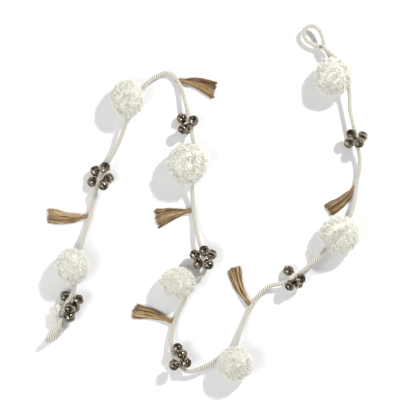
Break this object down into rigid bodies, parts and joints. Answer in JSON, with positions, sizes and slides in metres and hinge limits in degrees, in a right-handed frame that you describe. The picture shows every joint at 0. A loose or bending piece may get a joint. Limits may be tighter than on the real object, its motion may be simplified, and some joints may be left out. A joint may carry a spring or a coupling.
{
  "type": "pom pom tassel garland",
  "caption": "Rope garland of yarn pompoms, jute tassels and jingle bell clusters with a hanging loop at each end, laid out in a winding line.",
  "frame": {"origin": "on the surface that the garland lies on, under the middle of everything that the rope carries", "axes": "+Z up from the surface, +X to the right and +Y up as seen from straight above"},
  "size_m": [0.5486, 0.6056, 0.0662],
  "materials": {
    "cotton_rope": "twisted cotton, matte",
    "pompom_yarn": "fluffy cut yarn, matte",
    "jute": "coarse natural fibre",
    "thread": "wound cotton thread",
    "bell_metal": "antique nickel, polished"
  },
  "bodies": {
    "root": {"rope": "cotton_rope", "frayed_knot": "cotton_rope", "pompom_1": "pompom_yarn", "pompom_2": "pompom_yarn", "pompom_3": "pompom_yarn", "pompom_4": "pompom_yarn", "pompom_5": "pompom_yarn", "pompom_6": "pompom_yarn", "pompom_7": "pompom_yarn", "tassel_1": "jute", "tassel_2": "jute", "tassel_3": "jute", "tassel_4": "jute", "tassel_5": "jute", "tassel_6": "jute", "bell_thread_1": "thread", "bell_thread_2": "thread", "bell_thread_3": "thread", "bell_thread_4": "thread", "bell_thread_5": "thread", "bell_thread_6": "thread", "bell_thread_7": "thread", "bell_1_1": "bell_metal", "bell_1_2": "bell_metal", "bell_1_3": "bell_metal", "bell_1_4": "bell_metal", "bell_1_5": "bell_metal", "bell_2_1": "bell_metal", "bell_2_2": "bell_metal", "bell_2_3": "bell_metal", "bell_2_4": "bell_metal", "bell_2_5": "bell_metal", "bell_3_1": "bell_metal", "bell_3_2": "bell_metal", "bell_3_3": "bell_metal", "bell_3_4": "bell_metal", "bell_4_1": "bell_metal", "bell_4_2": "bell_metal", "bell_4_3": "bell_metal", "bell_4_4": "bell_metal", "bell_4_5": "bell_metal", "bell_5_1": "bell_metal", "bell_5_2": "bell_metal", "bell_5_3": "bell_metal", "bell_5_4": "bell_metal", "bell_6_1": "bell_metal", "bell_6_2": "bell_metal", "bell_6_3": "bell_metal", "bell_6_4": "bell_metal", "bell_7_1": "bell_metal", "bell_7_2": "bell_metal", "bell_7_3": "bell_metal", "bell_7_4": "bell_metal"}
  },
  "joints": []
}
